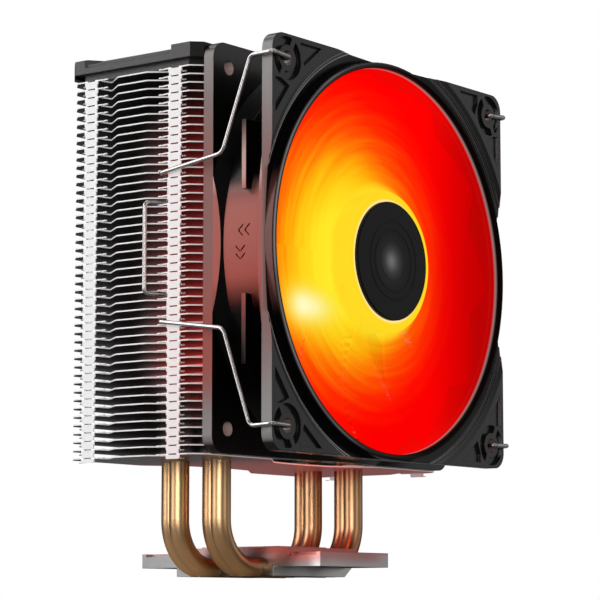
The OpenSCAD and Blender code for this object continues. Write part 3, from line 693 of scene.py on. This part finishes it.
class Builder:
    """Collects pieces of mesh; move, where given, places each vertex."""

    def __init__(self):
        self.verts, self.faces = [], []

    def add(self, verts, faces, move=None):
        first = len(self.verts)
        self.verts += [move(vert) for vert in verts] if move else verts
        self.faces += [tuple(i + first for i in face) for face in faces]

    def lathe(self, profile, steps, move):
        """Turn a closed (radius, z) profile about Z."""
        count = len(profile)
        turns = [2 * math.pi * k / steps for k in range(steps)]
        verts = [(r * math.cos(turn), r * math.sin(turn), z) for turn in turns for r, z in profile]
        faces = []
        for k in range(steps):
            here, there = k * count, (k + 1) % steps * count
            for j in range(count):
                after = (j + 1) % count
                faces.append((here + j, there + j, there + after, here + after))
        self.add(verts, faces, move)

    def box(self, low, high, move):
        verts = [(x, y, z) for x in (low[0], high[0]) for y in (low[1], high[1])
                 for z in (low[2], high[2])]
        faces = [(0, 1, 3, 2), (4, 6, 7, 5), (0, 4, 5, 1),
                 (2, 3, 7, 6), (0, 2, 6, 4), (1, 5, 7, 3)]
        self.add(verts, faces, move)

    def tube(self, points, radius, bend, sides, steps, move, closed=False):
        """Round wire along a line with rounded corners."""
        line = round_line(points, bend, steps, closed)
        count = len(line)
        turns = [2 * math.pi * j / sides for j in range(sides)]
        side = None
        verts = []
        for i, point in enumerate(line):
            before = line[i - 1] if closed or i else point
            after = line[(i + 1) % count] if closed or i < count - 1 else point
            along = (after - before).normalized()
            if side is None:
                side = along.orthogonal().normalized()
            side = (side - along * side.dot(along)).normalized()
            up = along.cross(side)
            verts += [tuple(point + (side * math.cos(turn) + up * math.sin(turn)) * radius)
                      for turn in turns]
        faces = []
        for i in range(count if closed else count - 1):
            here, there = i * sides, (i + 1) % count * sides
            for j in range(sides):
                after = (j + 1) % sides
                faces.append((here + j, here + after, there + after, there + j))
        if not closed:
            faces.append(tuple(reversed(range(sides))))
            faces.append(tuple((count - 1) * sides + j for j in range(sides)))
        self.add(verts, faces, move)

    def replace_part(self, name, part, sharp_angle):
        """Make the object that stands in for a part, in that part's material."""
        mesh = bpy.data.meshes.new(name)
        mesh.from_pydata([(x * MM, y * MM, z * MM) for x, y, z in self.verts], [], self.faces)
        mesh.validate()
        bm = bmesh.new()
        bm.from_mesh(mesh)
        bmesh.ops.remove_doubles(bm, verts=bm.verts, dist=1e-7)
        bmesh.ops.recalc_face_normals(bm, faces=bm.faces)
        bm.to_mesh(mesh)
        bm.free()
        mesh.shade_smooth()
        mesh.set_sharp_from_angle(angle=math.radians(sharp_angle))
        mesh.materials.append(materials[part])
        ob = bpy.data.objects.new(name, mesh)
        scene.collection.objects.link(ob)
        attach(ob, "heatsink")
        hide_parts(part)


# ---------------------------------------------------------------- fins, in mm
SIDE = 61.5             # half width
FRONT = 25.3            # half depth
CENTER_Y = STACK_Y * 1000
FIN_COUNT = 46
FIN_PITCH = 2.5
FIN_THICKNESS = 0.4
LOWEST_FIN_Z = 33.85
LOWEST_TAB_Z = -1.13    # the lowest fin's tabs are cut short here, from its underside
HOLE_RADIUS = 3.05
ROUND_STEPS = 20
PIPE_SPREAD, PIPE_STAGGER, PIPE_ROW_PITCH = 33, 2.9, 7.95
PIPES = [(side * PIPE_SPREAD + (-PIPE_STAGGER if row % 2 == 0 else PIPE_STAGGER),
          (row - 1.5) * PIPE_ROW_PITCH) for row in range(4) for side in (-1, 1)]

# Quarter of the outline, from the middle of the side to the middle of the front or rear edge:
# x, y, corner radius, arc segments
QUARTER = [
    (SIDE, 5.7, 1.5, 4), (SIDE - 4.5, 11.9, 0.3, 2), (SIDE - 4.5, 12.3, 0.3, 2),
    (SIDE - 0.72, 13.28, 0.12, 1), (SIDE - 0.72, 10.1, 0.12, 1), (SIDE - 0.1, 9.9, 0.25, 2),
    (SIDE - 0.1, 11.15, 0, 0), (SIDE - 0.45, 11.25, 0, 0), (SIDE - 0.45, 11.8, 0, 0),
    (SIDE - 0.1, 11.9, 0, 0), (SIDE - 0.1, 13.2, 0, 0), (SIDE, 13.3, 0, 0),
    (SIDE, 14.70, 0, 0), (SIDE - 1.3, 14.8, 0, 0), (SIDE - 1.3, 17.7, 0, 0),
    (SIDE, 17.8, 0, 0), (SIDE, 21.7, 0.8, 3), (SIDE - 3.5, FRONT, 1.2, 3),
    (27, FRONT, 3, 4), (14, FRONT - 9.3, 5, 4), (5, FRONT - 10.5, 4, 3),
]
# Folded tab with a slot at its fold and a narrower tongue below: y from the centre, z
TAB = [
    (13.75, 0.4), (13.75, -0.95), (14.05, -1.05), (14.05, -2.07), (18.45, -2.07), (18.45, -1.05),
    (18.75, -0.95), (18.75, 0.4), (17.75, 0.4), (17.75, 0.05), (14.75, 0.05), (14.75, 0.4),
]
# Ear beside the tab, which locks into the next fin: low and high corners of its two boxes
EAR = [
    ((SIDE - 1.0, 18.95, -1.40), (SIDE - 0.6, 20.05, -0.95)),
    ((SIDE - 0.9, 18.9, -1.3), (SIDE - 0.3, 19.12, -1.0)),
]
# Collar drawn round a pipe: radius, z
COLLAR = [(HOLE_RADIUS, 0.0), (3.7, 0.38), (3.28, 1.3), (HOLE_RADIUS, 1.3)]


def fin_sheet():
    corners = []
    for sign_x, sign_y, order in ((1, 1, 1), (-1, 1, -1), (-1, -1, 1), (1, -1, -1)):
        corners += [(x * sign_x, CENTER_Y + y * sign_y, radius, segments)
                    for x, y, radius, segments in QUARTER[::order]]
    turns = [2 * math.pi * j / ROUND_STEPS for j in range(ROUND_STEPS)]
    holes = [[(x + HOLE_RADIUS * math.cos(turn), y + HOLE_RADIUS * math.sin(turn))
              for turn in turns] for x, y in PIPES]
    return sheet([round_corners(corners)] + holes, FIN_THICKNESS / 2)


def single_fin():
    """One fin with its underside on z = 0."""
    fin = Builder()
    fin.add(*fin_sheet(), lambda p: (p[0], p[1], p[2] + FIN_THICKNESS / 2))
    tab = sheet([TAB], 0.2)
    for a in (1, -1):
        for b in (1, -1):
            fin.add(*tab, lambda p: (a * (SIDE - 0.2 + p[2]), CENTER_Y + b * p[0], p[1]))
            for low, high in EAR:
                fin.box(low, high, lambda p: (a * p[0], CENTER_Y + b * p[1], p[2]))
    for x, y in PIPES:
        fin.lathe(COLLAR, ROUND_STEPS, lambda p: (p[0] + x, p[1] + y, p[2]))
    return fin


def fin_stack():
    fin = single_fin()
    stack = Builder()
    for k in range(FIN_COUNT):
        lowest = LOWEST_TAB_Z if k == 0 else -math.inf
        base = LOWEST_FIN_Z + k * FIN_PITCH
        stack.add(fin.verts, fin.faces, lambda p: (p[0], p[1], max(p[2], lowest) + base))
    stack.replace_part("fin_stack", "cooling_fins", sharp_angle=30)


# ---------------------------------------------------------------- cable and coils, in mm
def from_fan(degrees):
    """Map from the fan's own axes (front face at z = 0, rear at -z), turned by degrees."""
    cos, sin = math.cos(math.radians(degrees)), math.sin(math.radians(degrees))

    def move(p):
        x, y = p[0] * cos - p[1] * sin, p[0] * sin + p[1] * cos
        return (x, FAN_Y * 1000 - p[2], FAN_Z * 1000 + y)
    return move


def cable():
    """Four wires from the motor out to the frame's corner, forward, sideways and back."""
    offset = 0.57       # of each wire from the cable's middle
    inner, outer = 20.4, 65.65
    rear, front, end = -21.35, -6.35, -8.98
    sideways = 9
    wires = Builder()
    for u in (-offset, offset):
        for v in (-offset, offset):
            path = [(inner, u, rear + v), (outer - v, u, rear + v), (outer - v, u, front - u),
                    (outer - v, sideways - u, front - u), (outer - v, sideways - u, end)]
            wires.tube(path, radius=0.56, bend=1.0, sides=12, steps=5, move=from_fan(45.0))
    wires.replace_part("cable_wires", "fan_cable", sharp_angle=40)


def coils():
    """Four coils: plain inner layers as boxes, then an outer layer of single turns."""
    inner, outer = 7.55, 14.1           # from the fan's axis
    half, core_half = 3.3, 2.06         # across the coil
    rear, front = -19.0, -10.0
    wall = 0.84                         # of the inner layers at rear and front
    lift = 0.26                         # wire's middle above the inner layers
    first_turn, turn_pitch, turn_count = 7.86, 0.658, 10
    layers = [
        ((inner, -half, rear), (outer, -core_half, front)),
        ((inner, core_half, rear), (outer, half, front)),
        ((inner, -half, rear), (outer, half, rear + wall)),
        ((inner, -half, front - wall), (outer, half, front)),
    ]
    y, back, fore = half + lift, rear - lift, front + lift
    coil = Builder()
    for k in range(4):
        move = from_fan(90.0 * k)
        for low, high in layers:
            coil.box(low, high, move)
        for i in range(turn_count):
            x = first_turn + turn_pitch * i
            path = [(x, -y, back), (x, y, back), (x, y, fore), (x, -y, fore)]
            coil.tube(path, radius=0.325, bend=0.8, sides=8, steps=3, move=move, closed=True)
    coil.replace_part("coil_turns", "stator_coils", sharp_angle=50)


fin_stack()
cable()
coils()

for part, width in (("clamp_plate", 0.35), ("base_block", 0.15), ("top_cover", 0.22)):
    edge = parts[part].modifiers.new("edge", "BEVEL")
    edge.width = width * MM
    edge.segments = 2
    edge.limit_method = "ANGLE"
    edge.angle_limit = math.radians(50)


# ---------------------------------------------------------------- camera, world, lights
def add_camera():
    """Camera in front on the left, a little below the fan's axis and looking up."""
    azimuth, elevation = math.radians(-52.768), math.radians(-7.158)
    camera = bpy.data.cameras.new("camera")
    ob = bpy.data.objects.new("camera", camera)
    scene.collection.objects.link(ob)
    back = Vector((math.sin(azimuth) * math.cos(elevation),
                   -math.cos(azimuth) * math.cos(elevation), math.sin(elevation)))
    right = Vector((0, 0, 1)).cross(back).normalized()
    up = back.cross(right)
    ob.matrix_world = Matrix((*zip(right, up, back, CAMERA_AT), (0, 0, 0, 1)))
    camera.sensor_width = 36.0
    camera.lens = 148.58694
    camera.clip_start = 0.01
    scene.camera = ob


def add_world():
    """White to the camera; dim and brighter upwards to everything else."""
    world = bpy.data.worlds.new("studio")
    scene.world = world
    graph = Graph(world)
    ray = graph.node("LightPath").outputs["Is Camera Ray"]
    _, _, up = graph.split(graph.node("TexCoord").outputs["Generated"])
    height = graph.fade(up, over=(-1, 1), smooth=False)
    sky = graph.ramp(height, [(0.30, (0.16, 0.155, 0.15)), (0.75, (0.75, 0.76, 0.78))])
    dim = graph.node("Background", {0: sky, 1: 0.22})
    white = graph.node("Background", {0: (1, 1, 1)})
    mixed = graph.node("MixShader", {0: ray, 1: dim.outputs[0], 2: white.outputs[0]})
    graph.node("OutputWorld", {0: mixed.outputs[0]})


def area_light(name, at, to, size, power, color=(1, 1, 1)):
    light = bpy.data.lights.new(name, "AREA")
    light.shape = "RECTANGLE"
    light.size, light.size_y = size
    light.energy = power
    light.color = color
    light.spread = math.pi
    ob = bpy.data.objects.new(name, light)
    scene.collection.objects.link(ob)
    ob.location = at
    ob.rotation_euler = (Vector(to) - Vector(at)).to_track_quat("-Z", "Y").to_euler()
    ob.visible_camera = False
    return ob


def add_lights():
    area_light("side_panel", at=(-0.80, 0.62, 0.42), to=(0, 0, 0.08), size=(0.6, 1.1), power=6.0)
    area_light("camera_panel", at=(-1.15, -0.62, 0.10), to=(0, 0, 0.06), size=(0.28, 0.7),
               power=3.4)
    area_light("top_panel", at=(0.1, 0.2, 1.0), to=(0, 0, 0.1), size=(0.8, 0.8), power=4)
    area_light("right_panel", at=(0.95, -0.74, 0.16), to=(0, 0, 0.08), size=(0.9, 1.0),
               power=1.15)
    area_light("front_panel", at=(-0.10, -1.2, 0.20), to=(0, 0, 0.08), size=(0.5, 0.5), power=1.0)
    area_light("red_gap", at=(0.0, -0.0250, 0.090), to=(0.0, 0.02, 0.090), size=(0.09, 0.09),
               power=0.05, color=(1.0, 0.03, 0.02))
    # a panel that lights only the pipes
    panel = area_light("pipe_panel", at=(-1.25, -0.30, 0.06), to=(0, 0, 0.03), size=(0.55, 0.7),
                       power=6.0)
    pipes_only = bpy.data.collections.new("pipes_only")
    for pipe in HEAT_PIPES:
        pipes_only.objects.link(parts[pipe])
    panel.light_linking.receiver_collection = pipes_only


# ---------------------------------------------------------------- floor
def floor_material():
    """Pale to the camera, greyer to other rays, and clear to the camera from below."""
    mat = Material("floor_pale")
    geometry = mat.node("NewGeometry")
    ray = mat.node("LightPath").outputs["Is Camera Ray"]
    mat.surface(rough=0.6, color=mat.mix(ray, (0.22, 0.22, 0.22), (0.9, 0.9, 0.9)),
                emit=(1, 1, 1), emit_strength=mat.mul(ray, 0.45))
    below = mat.mul(geometry.outputs["Backfacing"], ray)
    clear = mat.node("BsdfTransparent").outputs[0]
    mixed = mat.node("MixShader", {0: below, 1: mat.shader.outputs[0], 2: clear})
    mat.put(mat.output.inputs[0], mixed.outputs[0])
    return mat.block


def add_floor():
    bm = bmesh.new()
    bmesh.ops.create_grid(bm, x_segments=1, y_segments=1, size=1.6)
    mesh = bpy.data.meshes.new("floor")
    bm.to_mesh(mesh)
    bm.free()
    floor = bpy.data.objects.new("floor", mesh)
    scene.collection.objects.link(floor)
    floor.location = (0, 0, -0.0002)
    mesh.materials.append(floor_material())


add_camera()
add_world()
add_lights()
add_floor()

scene.view_settings.view_transform = "Standard"
scene.view_settings.look = "None"
